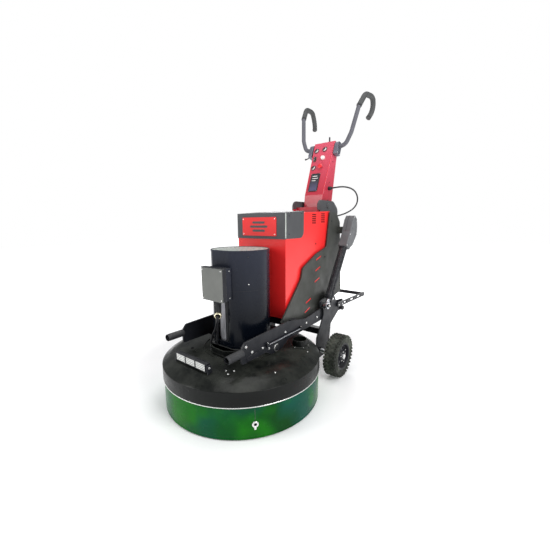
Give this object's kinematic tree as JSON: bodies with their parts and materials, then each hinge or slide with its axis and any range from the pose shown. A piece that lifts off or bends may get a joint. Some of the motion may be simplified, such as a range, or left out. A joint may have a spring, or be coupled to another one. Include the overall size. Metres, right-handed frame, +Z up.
{
  "type": "concrete grinder",
  "caption": "Walk-behind planetary floor grinder: round head with floating skirt and upright motor, boxy cabinet on arms, lifting wheel carrier, folding console, hooked bars.",
  "frame": {"origin": "on the floor, under the middle of the machine's bounding box", "axes": "+Z up, -Y towards the grinding head (front), +X to the side with the lift actuator"},
  "size_m": [0.823, 1.5455, 1.7788],
  "materials": {
    "red_paint": "gloss",
    "black_paint": "satin powder coat",
    "hood_paint": "satin powder coat",
    "cover_paint": "gloss",
    "green_paint": "gloss",
    "cast_metal": "as cast, painted",
    "motor_metal": "as cast",
    "bright_steel": "brushed",
    "chrome_steel": "polished",
    "gland_brass": "turned",
    "segment_steel": "ground",
    "tyre_rubber": "matt",
    "cable_rubber": "matt",
    "grip_foam": "matt",
    "dark_plastic": "matt",
    "lid_plastic": "matt",
    "silver_plastic": "gloss",
    "white_plastic": "gloss",
    "red_plastic": "gloss",
    "lamp_glass": "frosted",
    "display_glass": "gloss",
    "clamp_metal": "blasted"
  },
  "bodies": {
    "chassis": {"cabinet": "red_paint", "inverter": "dark_plastic", "hood": "hood_paint", "badge_plate": "red_paint", "front_beam": "black_paint", "rear_beam": "black_paint", "tow_bar": "black_paint", "side_plate_left": "black_paint", "side_plate_right": "black_paint", "arm_plate_left": "black_paint", "arm_plate_right": "black_paint", "mast_plate_left": "hood_paint", "mast_plate_right": "hood_paint", "console_cable": "cable_rubber"},
    "grinding_head": {"head_cover": "cover_paint", "dust_port": "cover_paint", "drive_housing": "cast_metal", "motor_housing": "motor_metal", "motor_shroud": "black_paint", "shroud_grille": "lid_plastic", "junction_box": "black_paint", "junction_lid": "lid_plastic", "cable_gland": "gland_brass", "motor_lead": "cable_rubber"},
    "skirt": {"skirt_ring": "green_paint"},
    "carrier": {"planet_carrier": "cast_metal"},
    "disc_1": {"grinding_disc_1": "segment_steel"},
    "disc_2": {"grinding_disc_2": "segment_steel"},
    "disc_3": {"grinding_disc_3": "segment_steel"},
    "rotor": {"motor_rotor": "bright_steel"},
    "work_light": {"light_bar": "black_paint", "light_lenses": "lamp_glass"},
    "wheel_carrier": {"wheel_plate_left": "black_paint", "wheel_plate_right": "black_paint", "axle": "bright_steel", "carrier_beam": "black_paint"},
    "wheel_left": {"tyre_left": "tyre_rubber", "hub_left": "black_paint"},
    "wheel_right": {"tyre_right": "tyre_rubber", "hub_right": "black_paint"},
    "actuator_body": {"actuator_tube": "black_paint", "actuator_motor": "dark_plastic"},
    "actuator_piston": {"actuator_rod": "chrome_steel"},
    "console": {"console_shell": "red_paint", "display_panel": "display_glass", "bar_clamp_left": "clamp_metal", "bar_clamp_right": "clamp_metal", "console_gland": "dark_plastic"},
    "bar_left": {"handlebar_left": "chrome_steel", "grip_left": "grip_foam"},
    "bar_right": {"handlebar_right": "chrome_steel", "grip_right": "grip_foam"},
    "selector_1": {"rotary_switch_1": "silver_plastic"},
    "selector_2": {"rotary_switch_2": "silver_plastic"},
    "selector_3": {"rotary_switch_3": "silver_plastic"},
    "dial": {"speed_knob": "white_plastic"},
    "stop": {"stop_button": "red_plastic"},
    "start": {"start_button": "dark_plastic"},
    "lever": {"clamp_lever": "black_paint"},
    "lock": {"lock_knob": "dark_plastic"}
  },
  "joints": [
    {"name": "head_tilt", "type": "hinge", "parent": "chassis", "child": "grinding_head", "pos_m": [0, -0.345, 0.294], "axis": [1, 0, 0], "range_deg": [-1, 3]},
    {"name": "skirt_float", "type": "slide", "parent": "grinding_head", "child": "skirt", "axis": [0, 0, 1], "range_m": [0, 0.012]},
    {"name": "carrier_spin", "type": "hinge", "parent": "grinding_head", "child": "carrier", "pos_m": [0, -0.364, 0.1], "axis": [0, 0, 1], "continuous": true},
    {"name": "disc_spin_1", "type": "hinge", "parent": "carrier", "child": "disc_1", "pos_m": [0, -0.119, 0.05], "axis": [0, 0, 1], "continuous": true},
    {"name": "disc_spin_2", "type": "hinge", "parent": "carrier", "child": "disc_2", "pos_m": [-0.21218, -0.4865, 0.05], "axis": [0, 0, 1], "continuous": true},
    {"name": "disc_spin_3", "type": "hinge", "parent": "carrier", "child": "disc_3", "pos_m": [0.21218, -0.4865, 0.05], "axis": [0, 0, 1], "continuous": true},
    {"name": "motor_spin", "type": "hinge", "parent": "grinding_head", "child": "rotor", "pos_m": [0, -0.364, 0.45], "axis": [0, 0, 1], "continuous": true},
    {"name": "light_tilt", "type": "hinge", "parent": "grinding_head", "child": "work_light", "pos_m": [-0.009, -0.686, 0.289], "axis": [1, 0, 0], "range_deg": [-8, 8]},
    {"name": "wheel_lift", "type": "hinge", "parent": "chassis", "child": "wheel_carrier", "pos_m": [0, 0.221, 0.432], "axis": [1, 0, 0], "range_deg": [0, 15]},
    {"name": "wheel_spin_left", "type": "hinge", "parent": "wheel_carrier", "child": "wheel_left", "pos_m": [-0.341, 0.097, 0.127], "axis": [1, 0, 0], "continuous": true},
    {"name": "wheel_spin_right", "type": "hinge", "parent": "wheel_carrier", "child": "wheel_right", "pos_m": [0.341, 0.097, 0.127], "axis": [1, 0, 0], "continuous": true},
    {"name": "actuator_swing", "type": "hinge", "parent": "chassis", "child": "actuator_body", "pos_m": [0.254, 0.373, 0.8605], "axis": [1, 0, 0], "range_deg": [0, 2.5]},
    {"name": "actuator_extend", "type": "slide", "parent": "actuator_body", "child": "actuator_piston", "axis": [0, -0.525, -0.8511], "range_m": [0, 0.0235]},
    {"name": "console_fold", "type": "hinge", "parent": "chassis", "child": "console", "pos_m": [0, 0.381, 1.02], "axis": [1, 0, 0], "range_deg": [-35, 10]},
    {"name": "bar_swing_left", "type": "hinge", "parent": "console", "child": "bar_left", "pos_m": [-0.098, 0.504, 1.42], "axis": [1, 0, 0], "range_deg": [-25, 25]},
    {"name": "bar_swing_right", "type": "hinge", "parent": "console", "child": "bar_right", "pos_m": [0.098, 0.504, 1.42], "axis": [1, 0, 0], "range_deg": [-25, 25]},
    {"name": "selector_turn_1", "type": "hinge", "parent": "console", "child": "selector_1", "pos_m": [-0.051, 0.48, 1.4059], "axis": [0, -0.9309, 0.3653], "range_deg": [-45, 45]},
    {"name": "selector_turn_2", "type": "hinge", "parent": "console", "child": "selector_2", "pos_m": [0.012, 0.4815, 1.4096], "axis": [0, -0.9309, 0.3653], "range_deg": [-45, 45]},
    {"name": "selector_turn_3", "type": "hinge", "parent": "console", "child": "selector_3", "pos_m": [-0.048, 0.4325, 1.2849], "axis": [0, -0.9309, 0.3653], "range_deg": [-45, 45]},
    {"name": "dial_turn", "type": "hinge", "parent": "console", "child": "dial", "pos_m": [0.013, 0.4574, 1.3482], "axis": [0, -0.9309, 0.3653], "range_deg": [-135, 135]},
    {"name": "stop_press", "type": "slide", "parent": "console", "child": "stop", "axis": [0, 0.9309, -0.3653], "range_m": [0, 0.006], "stiffness_N_per_m": 800},
    {"name": "start_press", "type": "slide", "parent": "console", "child": "start", "axis": [0, 0.9309, -0.3653], "range_m": [0, 0.003], "stiffness_N_per_m": 800},
    {"name": "lever_turn", "type": "hinge", "parent": "console", "child": "lever", "pos_m": [-0.117, 0.506, 1.38], "axis": [1, 0, 0], "range_deg": [-45, 45]},
    {"name": "lock_turn", "type": "hinge", "parent": "chassis", "child": "lock", "pos_m": [0.222, 0.371, 0.338], "axis": [1, 0, 0], "continuous": true}
  ],
  "couplings": [
    {"joint": "disc_spin_1", "follows": "carrier_spin", "ratio": -3},
    {"joint": "disc_spin_2", "follows": "carrier_spin", "ratio": -3},
    {"joint": "disc_spin_3", "follows": "carrier_spin", "ratio": -3},
    {"joint": "motor_spin", "follows": "carrier_spin", "ratio": 5},
    {"joint": "actuator_swing", "follows": "wheel_lift", "ratio": 0.16},
    {"joint": "actuator_extend", "follows": "wheel_lift", "m_per_rad": 0.0867}
  ]
}
